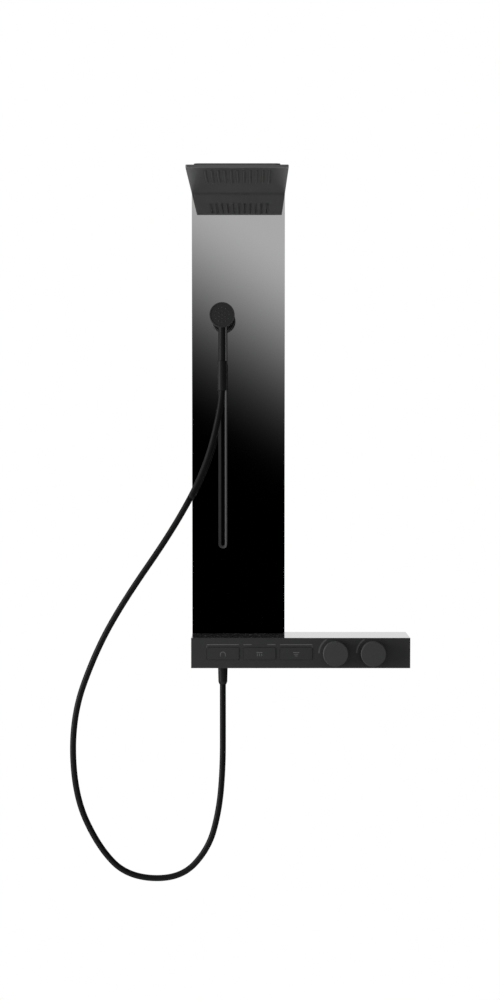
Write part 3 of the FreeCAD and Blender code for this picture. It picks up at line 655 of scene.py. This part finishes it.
def finish(name, colour, roughness, spread=0.04, scale=900.0, bump=0.02, **constants):
    """A material with the shared grain; further constants go on the shader's own sockets."""
    material = bpy.data.materials.new(name)
    material.use_nodes = True
    nodes = Nodes(material.node_tree)
    shader = material.node_tree.nodes[SHADER]
    shader.inputs["Base Color"].default_value = opaque(colour)
    for socket, value in constants.items():
        shader.inputs[socket.replace("_", " ")].default_value = value
    grain = nodes.add("ShaderNodeGroup", node_tree=bpy.data.node_groups[GRAIN])
    grain.inputs["Scale"].default_value = scale
    grain.inputs["Roughness"].default_value = roughness
    grain.inputs["Spread"].default_value = spread
    nodes.join(grain.outputs["Roughness"], shader.inputs["Roughness"])
    if bump:
        relief = nodes.add("ShaderNodeBump")
        relief.inputs["Strength"].default_value = bump
        relief.inputs["Distance"].default_value = RELIEF_DEPTH
        nodes.join(grain.outputs["Height"], relief.inputs["Height"])
        nodes.join(relief.outputs["Normal"], shader.inputs["Normal"])
    return material


def tone(material, nodes, shares):
    """Scales a finish's own colour by shares that change over the piece."""
    colour = material.node_tree.nodes[SHADER].inputs["Base Color"]
    scaled = colour.default_value[:3]
    for share in shares:
        node = nodes.add("ShaderNodeVectorMath", operation="SCALE")
        nodes.feed(node.inputs["Vector"], scaled)
        nodes.join(share, node.inputs["Scale"])
        scaled = node.outputs["Vector"]
    nodes.join(scaled, colour)


def recolour(material, nodes, share, other):
    """Turns a finish's own colour into another one with a share that changes over the piece."""
    colour = material.node_tree.nodes[SHADER].inputs["Base Color"]
    nodes.join(nodes.mix("Color", share, colour.default_value, opaque(other)), colour)


def head_painted_light(material):
    """Paints a highlight on the overhead head's front lip and shade near its joint with the column.
    """
    nodes = Nodes(material.node_tree)
    y = nodes.axes("Object")["Y"]
    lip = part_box("head_tray")[0][1] + LIP_DEPTH
    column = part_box("column_panel")[0][1]
    # A painted highlight on the front lip, and painted shade towards the column
    lip_highlight = nodes.ramp(y, lip + LIP_BLUR, lip, 1.0, LIP_HIGHLIGHT_SHARE, smooth=True)
    joint_shade = nodes.ramp(y, column - JOINT_SHADE_DEPTH, column, 1.0, JOINT_SHADE_SHARE, smooth=True)
    tone(material, nodes, (lip_highlight, joint_shade))


def spray_painted_light(material):
    """Paints light and shade on the spray strips and tips by the way that a face looks, darkest
    towards the wall.
    """
    nodes = Nodes(material.node_tree)
    normal = nodes.axes("Normal")
    shares = [
        nodes.ramp(normal[axis], start, end, 1.0, full) for axis, start, end, full in SPRAY_LIGHT_AND_SHADE
    ]
    tone(material, nodes, shares)


def handle_painted_shade(material, other):
    """Paints shade on the hand shower's handle as a darker colour, from below the faceplate."""
    nodes = Nodes(material.node_tree)
    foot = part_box("handset_faceplate")[0][2]
    below = nodes.ramp(nodes.axes("Object")["Z"], foot, foot - HANDLE_SHADE_BLUR)
    recolour(material, nodes, below, other)


def rim_painted_shade(material, other):
    """Paints shade on the outer rim of the slot trim's right side as a darker colour."""
    nodes = Nodes(material.node_tree)
    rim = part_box("slot_trim")[1][0] - RIM_SHADE_DEPTH
    outside = nodes.ramp(nodes.axes("Object")["X"], rim - RIM_SHADE_BLUR, rim)
    recolour(material, nodes, outside, other)


def mirror_face(material, backing):
    """Keeps the mirror to the panel's front over a black foot, and paints its edges and back."""
    nodes = Nodes(material.node_tree)
    shader = material.node_tree.nodes[SHADER]
    colour = shader.inputs["Base Color"]
    place = nodes.axes("Object")
    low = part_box("column_panel")[0]
    front = nodes.math("LESS_THAN", place["Y"], low[1] + MIRROR_SKIN)
    over_foot = nodes.math("GREATER_THAN", place["Z"], low[2] + MIRROR_FOOT)
    silver = nodes.mix("Color", over_foot, BLACK, colour.default_value)
    nodes.join(nodes.mix("Color", front, opaque(backing), silver), colour)
    nodes.join(front, shader.inputs["Metallic"])


def add_piece(name, vertices, faces, material, smooth=False):
    """A mesh object at the origin with one material."""
    mesh = bpy.data.meshes.new(name)
    mesh.from_pydata([tuple(v) for v in vertices], [], faces)
    mesh.validate()
    if smooth:
        mesh.shade_smooth()
    mesh.materials.append(bpy.data.materials[material])
    piece = bpy.data.objects.new(name, mesh)
    bpy.context.scene.collection.objects.link(piece)
    return piece


def plain_mesh(thing):
    """The mesh of an object as its curve or its modifiers make it."""
    graph = bpy.context.evaluated_depsgraph_get()
    return bpy.data.meshes.new_from_object(thing.evaluated_get(graph), depsgraph=graph)


def route_line(name, route, steps):
    """The points of one smooth curve along a route, read from a NURBS spline with no thickness."""
    curve = bpy.data.curves.new(name, "CURVE")
    curve.dimensions = "3D"
    curve.resolution_u = steps
    spline = curve.splines.new("NURBS")
    spline.points.add(len(route) - 1)
    for point, place in zip(spline.points, route):
        point.co = (*place, 1.0)
    spline.order_u = SPLINE_ORDER
    spline.use_endpoint_u = True
    guide = bpy.data.objects.new(name, curve)
    bpy.context.scene.collection.objects.link(guide)
    mesh = plain_mesh(guide)
    line = [vertex.co.copy() for vertex in mesh.vertices]
    bpy.data.objects.remove(guide)
    bpy.data.curves.remove(curve)
    bpy.data.meshes.remove(mesh)
    return line


def tube(line, radius, sides):
    """Rings round a line of points, with closed ends."""
    vertices = []
    side = Vector((0, 1, 0))
    for k, centre in enumerate(line):
        ahead = (line[min(k + 1, len(line) - 1)] - line[max(k - 1, 0)]).normalized()
        side = (side - ahead * side.dot(ahead)).normalized()
        up = ahead.cross(side)
        for turn in range(sides):
            angle = math.tau * turn / sides
            vertices.append(centre + (side * math.cos(angle) + up * math.sin(angle)) * radius)
    faces = [
        (k * sides + a, k * sides + b, (k + 1) * sides + b, (k + 1) * sides + a)
        for k in range(len(line) - 1)
        for a, b in ((t, (t + 1) % sides) for t in range(sides))
    ]
    last = (len(line) - 1) * sides
    faces.append(tuple(reversed(range(sides))))
    faces.append(tuple(range(last, last + sides)))
    return vertices, faces


def strokes(paths, width, face, lift):
    """Raised flat ribbons on a front face: each path is a list of (x, z) points."""
    vertices = []
    faces = []
    for path in paths:
        first = len(vertices)
        for k, (x, z) in enumerate(path):
            before = Vector(path[max(k - 1, 0)])
            after = Vector(path[min(k + 1, len(path) - 1)])
            along = (after - before).normalized() * (width / 2)
            for y in (face - lift, face):
                vertices.append((x - along.y, y, z + along.x))
                vertices.append((x + along.y, y, z - along.x))
        # Each point of a path has four corners: two in front, then two on the face
        for k in range(len(path) - 1):
            a = first + k * 4
            b = a + 4
            faces += [(a, a + 1, b + 1, b), (a + 2, b + 2, b + 3, a + 3)]
            faces += [(a, b, b + 2, a + 2), (a + 1, a + 3, b + 3, b + 1)]
        a = first
        b = first + (len(path) - 1) * 4
        faces += [(a, a + 2, a + 3, a + 1), (b, b + 1, b + 3, b + 2)]
    return vertices, faces


def arc(x, z, radius, start, end, steps=20):
    """Points on an arc, with angles in degrees from +X towards +Z."""
    angles = [math.radians(start + (end - start) * k / steps) for k in range(steps + 1)]
    return [(x + radius * math.cos(a), z + radius * math.sin(a)) for a in angles]


def level_stroke(half, height):
    """A level stroke with a half width."""
    return [(-half, height), (half, height)]


def button_signs():
    """The strokes of each button's sign, from the button's middle."""
    arch = [
        arc(0.0, ARCH_SPRING, ARCH_RADIUS, 0, 180),
        [(-ARCH_RADIUS, ARCH_FOOT), (-ARCH_RADIUS, ARCH_SPRING)],
        [(ARCH_RADIUS, ARCH_SPRING), (ARCH_RADIUS, ARCH_FOOT)],
    ]
    head = level_stroke(*SIGN_HEAD)
    jets = [[(x, z) for z in JET_ENDS] for x in JET_PLACES]
    rows = [level_stroke(*row) for row in SIGN_ROWS]
    return {"left": arch, "centre": [head, *jets], "right": [head, *rows]}


def middle(node):
    """The middle of a CAD node's front, as x and z."""
    low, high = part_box(node)
    return (low[0] + high[0]) / 2, (low[2] + high[2]) / 2


class SHOWER_OT_finishes(bpy.types.Operator):
    """Makes the materials and gives each solid its own"""

    bl_idname = "shower.finishes"
    bl_label = "Finishes"

    def execute(self, context):
        colours = context.scene.shower_colours
        grain_group()
        self.plain(colours)
        self.painted(colours)
        for material, names in FINISHES.items():
            for name in names:
                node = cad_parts[name]
                node.data.materials.clear()
                node.data.materials.append(bpy.data.materials[material])
        return {"FINISHED"}

    def plain(self, colours):
        """The finishes with one colour all over."""
        finish("satin", colours.satin, roughness=0.45, Specular_IOR_Level=0.2)
        finish("knob", colours.knob, roughness=0.5, Specular_IOR_Level=0.1)
        finish("nut", colours.nut, roughness=0.5, Specular_IOR_Level=0.12)
        finish("face", colours.face, roughness=0.45, Specular_IOR_Level=0.1)
        finish("nozzle", colours.nozzle, roughness=0.6)
        finish(
            "polished",
            colours.polished,
            roughness=0.06,
            spread=0.02,
            bump=0.0,
            Coat_Weight=0.7,
            Coat_Roughness=0.03,
        )
        finish("sheath", colours.sheath, roughness=0.45, scale=600.0, Specular_IOR_Level=0.1)
        finish("soft", colours.soft, roughness=0.7, Specular_IOR_Level=0.2)
        finish("steel", colours.steel, roughness=0.35, scale=300.0, Metallic=1.0)
        finish("brass", colours.brass, roughness=0.32, scale=500.0, Metallic=1.0)
        finish("moulding", colours.moulding, roughness=0.5)
        finish("print", colours.sign, roughness=0.5)
        finish("scale", colours.scale, roughness=0.5)

    def painted(self, colours):
        """The finishes whose colour changes over the piece, most of them by painted light and
        shade.
        """
        head = finish("head", colours.head, roughness=0.45, Specular_IOR_Level=0.35)
        head_painted_light(head)
        for name, roughness in (("strip", 0.5), ("tip", 0.6)):
            # Painted light and shade on the spray strips and tips
            spray_painted_light(finish(name, colours.spray, roughness, Specular_IOR_Level=0.1))
        handset = finish("handset", colours.handset, roughness=0.45, Specular_IOR_Level=0.1)
        # Painted shade on the handle below the round head
        handle_painted_shade(handset, colours.handle)
        trim = finish("trim", colours.trim, roughness=0.40, Specular_IOR_Level=0.03)
        # Painted shade on the outer rim of the trim's right side
        rim_painted_shade(trim, colours.rim)
        mirror = finish("mirror", colours.mirror, roughness=0.012, spread=0.004, bump=0.0)
        mirror_face(mirror, colours.backing)


class SHOWER_OT_hose(bpy.types.Operator):
    """Lays the hose in two stretches"""

    bl_idname = "shower.hose"
    bl_label = "Hose"

    def execute(self, context):
        sizes = context.scene.shower_hose
        self.stretch(
            sizes,
            node="hose_loop",
            route=LOOP_ROUTE,
            length=sizes.loop_length,
            nut="hose_nut_lower",
            bodies=("wall_unit", "slider"),
            share=lambda u: 1.0 - (1.0 - u) ** sizes.slack,
        )
        self.stretch(
            sizes,
            node="hose_top",
            route=TOP_ROUTE,
            length=sizes.top_length,
            nut="hose_nut_upper",
            bodies=("slider", "hand_shower"),
            share=lambda u: u * u * (3.0 - 2.0 * u),
        )
        return {"FINISHED"}

    def stretch(self, sizes, node, route, length, nut, bodies, share):
        """One stretch as a tube; share gives a number to each place along it."""
        line = route_line(node + "_guide", route, sizes.steps)
        vertices, faces = tube(line, sizes.diameter / 2, sizes.sides)
        piece = add_piece(node + "_tube", vertices, faces, "sheath", smooth=True)
        for cap in list(piece.data.polygons)[-2:]:
            cap.use_smooth = False
        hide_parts(node)
        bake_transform(piece)
        along = [0.0]
        for here, there in zip(line, line[1:]):
            along.append(along[-1] + (there - here).length)
        shares = [share(a / along[-1]) for a in along for turn in range(sizes.sides)]


class SHOWER_OT_spray(bpy.types.Operator):
    """Sets rows of soft spray tips under the overhead head's strips"""

    bl_idname = "shower.spray"
    bl_label = "Spray tips"

    def execute(self, context):
        sizes = context.scene.shower_spray
        tree = self.tips_tree()
        for bank in ("rear", "front"):
            self.set_tips(sizes, tree, bank)
        return {"FINISHED"}

    def tips_tree(self):
        """The node tree: a grid of points, a cone on each, made real with its material."""
        tree = bpy.data.node_groups.new("spray_tips", "GeometryNodeTree")
        tree.interface.new_socket("Geometry", in_out="OUTPUT", socket_type="NodeSocketGeometry")
        for name, kind in (
            ("Columns", "NodeSocketInt"),
            ("Rows", "NodeSocketInt"),
            ("Width", "NodeSocketFloat"),
            ("Length", "NodeSocketFloat"),
            ("Radius", "NodeSocketFloat"),
            ("Reach", "NodeSocketFloat"),
            ("Centre", "NodeSocketVector"),
            ("Material", "NodeSocketMaterial"),
        ):
            tree.interface.new_socket(name, in_out="INPUT", socket_type=kind)
        nodes = Nodes(tree)
        source = nodes.add("NodeGroupInput").outputs
        grid = nodes.add("GeometryNodeMeshGrid")
        nodes.join(source["Width"], grid.inputs["Size X"])
        nodes.join(source["Length"], grid.inputs["Size Y"])
        nodes.join(source["Columns"], grid.inputs["Vertices X"])
        nodes.join(source["Rows"], grid.inputs["Vertices Y"])
        place = nodes.add("GeometryNodeTransform")
        nodes.join(grid.outputs["Mesh"], place.inputs["Geometry"])
        nodes.join(source["Centre"], place.inputs["Translation"])
        cone = nodes.add("GeometryNodeMeshCone")
        cone.inputs["Vertices"].default_value = TIP_SIDES
        end = nodes.math("MULTIPLY", source["Radius"], TIP_END_SHARE)
        nodes.join(end, cone.inputs["Radius Bottom"])
        nodes.join(source["Radius"], cone.inputs["Radius Top"])
        nodes.join(source["Reach"], cone.inputs["Depth"])
        spread = nodes.add("GeometryNodeInstanceOnPoints")
        nodes.join(place.outputs["Geometry"], spread.inputs["Points"])
        nodes.join(cone.outputs["Mesh"], spread.inputs["Instance"])
        real = nodes.add("GeometryNodeRealizeInstances")
        nodes.join(spread.outputs["Instances"], real.inputs["Geometry"])
        paint = nodes.add("GeometryNodeSetMaterial")
        nodes.join(real.outputs["Geometry"], paint.inputs["Geometry"])
        nodes.join(source["Material"], paint.inputs["Material"])
        nodes.join(paint.outputs["Geometry"], nodes.add("NodeGroupOutput").inputs["Geometry"])
        return tree

    def set_tips(self, sizes, tree, bank):
        """The tips of one bank as a plain mesh."""
        low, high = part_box("spray_strips_" + bank)
        name = "spray_tips_" + bank
        host = bpy.data.objects.new(name, bpy.data.meshes.new(name))
        bpy.context.scene.collection.objects.link(host)
        modifier = host.modifiers.new("tips", "NODES")
        modifier.node_group = tree
        values = {
            "Columns": sizes.columns,
            "Rows": sizes.rows,
            "Width": (sizes.columns - 1) * sizes.pitch,
            "Length": high[1] - low[1] - 2 * sizes.inset,
            "Radius": sizes.radius,
            "Reach": sizes.reach,
            "Centre": ((low[0] + high[0]) / 2, (low[1] + high[1]) / 2, low[2] - sizes.reach),
            "Material": bpy.data.materials["tip"],
        }
        for socket in tree.interface.items_tree:
            if socket.in_out == "INPUT":
                modifier[socket.identifier] = values[socket.name]
        host.update_tag()
        mesh = plain_mesh(host)
        host.modifiers.clear()
        host.data = mesh
        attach(host, "wall_unit")


class SHOWER_OT_button_marks(bpy.types.Operator):
    """Prints a small sign on each button"""

    bl_idname = "shower.button_marks"
    bl_label = "Button signs"

    def execute(self, context):
        sizes = context.scene.shower_marks
        scale = sizes.sign_scale
        for side, paths in button_signs().items():
            x, z = middle("button_" + side)
            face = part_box("button_" + side)[0][1]
            placed = [[(x + a * scale, z + b * scale) for a, b in path] for path in paths]
            form = strokes(placed, sizes.line, face, sizes.lift)
            mark = add_piece("button_sign_" + side, *form, "print")
            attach(mark, side + "_button")
        return {"FINISHED"}


class SHOWER_OT_panel_marks(bpy.types.Operator):
    """Prints the line over the buttons and a scale beside each knob"""

    bl_idname = "shower.panel_marks"
    bl_label = "Panel marks"

    def execute(self, context):
        sizes = context.scene.shower_marks
        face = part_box("front_fascia")[0][1]
        form = strokes(self.button_line(sizes), sizes.line, face, sizes.lift)
        bracket = add_piece("button_line", *form, "print")
        arcs = [
            arc(*middle(knob), sizes.arc_radius, *SCALE_ANGLES)
            for knob in ("flow_knob", "temperature_knob")
        ]
        form = strokes(arcs, sizes.arc_width, face, sizes.lift)
        scales = add_piece("knob_scales", *form, "scale")
        for mark in (bracket, scales):
            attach(mark, "wall_unit")
        return {"FINISHED"}

    def button_line(self, sizes):
        """The strokes of the line: one over each button, turned down at the outer ends."""
        top = sizes.bracket_height
        foot = top - sizes.tick
        boxes = [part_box("button_" + side) for side in ("left", "centre", "right")]
        left, centre, right = [(low[0], high[0]) for low, high in boxes]
        gap_start = sum(centre) / 2 - sizes.bracket_gap / 2
        gap_end = sum(centre) / 2 + sizes.bracket_gap / 2
        return [
            [(left[0], foot), (left[0], top), (left[1], top)],
            [(centre[0], top), (gap_start, top)],
            [(gap_end, top), (centre[1], top)],
            [(right[0], top), (right[1], top), (right[1], foot)],
        ]


def seen_straight(nodes, path):
    """One for rays from the camera, also through glass, and zero for the rest."""
    return nodes.math("MAXIMUM", path["Is Camera Ray"], path["Is Transmission Ray"])


class SHOWER_OT_stage(bpy.types.Operator):
    """Sets up the camera, the white studio light and the floor"""

    bl_idname = "shower.stage"
    bl_label = "Studio"

    def execute(self, context):
        scene = context.scene
        sizes = scene.shower_stage
        scene.view_settings.view_transform = "Standard"
        camera = bpy.data.objects.new("camera", bpy.data.cameras.new("camera"))
        camera.data.lens = sizes.lens
        camera.location = sizes.camera_place
        camera.rotation_euler = (math.pi / 2 - sizes.camera_tilt, 0.0, 0.0)
        scene.collection.objects.link(camera)
        scene.camera = camera
        self.sky(scene, sizes)
        self.floor(sizes)
        self.side_light(scene, sizes)
        return {"FINISHED"}

    def sky(self, scene, sizes):
        """White behind the object, even light all round, and a soft ceiling in reflections."""
        world = bpy.data.worlds.new("studio")
        world.use_nodes = True
        scene.world = world
        nodes = Nodes(world.node_tree)
        path = nodes.add("ShaderNodeLightPath").outputs
        x, y, z = nodes.axes("Generated")
        forward = nodes.math("MAXIMUM", nodes.math("MULTIPLY", y, -1.0), LEAST_FORWARD)
        lean = nodes.math("ADD", z, nodes.math("MULTIPLY", x, CEILING_LEAN))
        rise = nodes.ramp(nodes.math("DIVIDE", lean, forward), *CEILING_EDGE, smooth=True)
        glow = nodes.math("MULTIPLY", nodes.math("POWER", rise, CEILING_POWER), sizes.ceiling)
        side = nodes.ramp(x, *CEILING_END, 1.0, 0.0, smooth=True)
        first = nodes.math("LESS_THAN", path["Glossy Depth"], FIRST_REFLECTION)
        room = nodes.mix("Float", first, LATER_TONE, nodes.math("MULTIPLY", glow, side))
        behind = nodes.ramp(y, *BEHIND_EDGE, smooth=True)
        mirrored = nodes.math("MAXIMUM", room, behind)
        level = nodes.mix("Float", path["Is Glossy Ray"], sizes.sky, mirrored)
        background = world.node_tree.nodes["Background"]
        lit = nodes.math("MAXIMUM", level, seen_straight(nodes, path))
        nodes.join(lit, background.inputs["Color"])

    def floor(self, sizes):
        """A plain pale floor under the hose, in front of the wall."""
        material = finish(
            "floor",
            sizes.floor_colour,
            roughness=0.7,
            scale=30.0,
            bump=0.0,
            Emission_Color=WHITE,
        )
        nodes = Nodes(material.node_tree)
        path = nodes.add("ShaderNodeLightPath").outputs
        seen = nodes.math("MAXIMUM", seen_straight(nodes, path), path["Is Glossy Ray"])
        shader = material.node_tree.nodes[SHADER]
        glow = nodes.math("MULTIPLY", seen, sizes.floor_glow)
        nodes.join(glow, shader.inputs["Emission Strength"])
        side = sizes.floor_half_width
        front = -sizes.floor_depth
        outline = [(-side, front), (side, front), (side, 0.0), (-side, 0.0)]
        corners = [(x, y, sizes.floor_level) for x, y in outline]
        add_piece("floor", corners, [(0, 1, 2, 3)], "floor")

    def side_light(self, scene, sizes):
        """A tall soft box on the left."""
        data = bpy.data.lights.new("left_soft_box", "AREA")
        data.shape = "RECTANGLE"
        data.size = sizes.light_width
        data.size_y = sizes.light_height
        data.energy = sizes.side_light
        box = bpy.data.objects.new("left_soft_box", data)
        box.location = sizes.light_place
        aim = Vector(sizes.light_aim) - box.location
        box.rotation_euler = aim.to_track_quat("-Z", "Y").to_euler()
        scene.collection.objects.link(box)


class SHOWER_PT_panel(bpy.types.Panel):
    """The shower set's settings and steps"""

    bl_label = "Shower set"
    bl_idname = "SHOWER_PT_panel"
    bl_space_type = "VIEW_3D"
    bl_region_type = "UI"
    bl_category = "Shower"

    def draw(self, context):
        """Lists every setting, then every step."""
        for name in GROUPS:
            settings = getattr(context.scene, name)
            column = self.layout.column(align=True)
            for key in settings.__annotations__:
                column.prop(settings, key)
        for operator in OPERATORS:
            self.layout.operator(operator.bl_idname)


GROUPS = {
    "shower_colours": ShowerColourSettings,
    "shower_hose": ShowerHoseSettings,
    "shower_spray": ShowerSpraySettings,
    "shower_marks": ShowerMarkSettings,
    "shower_stage": ShowerStageSettings,
}
OPERATORS = (
    SHOWER_OT_finishes,
    SHOWER_OT_hose,
    SHOWER_OT_spray,
    SHOWER_OT_button_marks,
    SHOWER_OT_panel_marks,
    SHOWER_OT_stage,
)


def register():
    """Adds the settings, the operators and the panel."""
    for name, group in GROUPS.items():
        bpy.utils.register_class(group)
        setattr(bpy.types.Scene, name, bpy.props.PointerProperty(type=group))
    for operator in OPERATORS:
        bpy.utils.register_class(operator)
    bpy.utils.register_class(SHOWER_PT_panel)


def unregister():
    """Takes away what register added."""
    bpy.utils.unregister_class(SHOWER_PT_panel)
    for operator in reversed(OPERATORS):
        bpy.utils.unregister_class(operator)
    for name, group in GROUPS.items():
        delattr(bpy.types.Scene, name)
        bpy.utils.unregister_class(group)


def main():
    """Dresses the set."""
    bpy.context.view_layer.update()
    register()
    bpy.ops.shower.finishes()
    bpy.ops.shower.hose()
    bpy.ops.shower.spray()
    bpy.ops.shower.button_marks()
    bpy.ops.shower.panel_marks()
    bpy.ops.shower.stage()


if __name__ == "__main__":
    main()
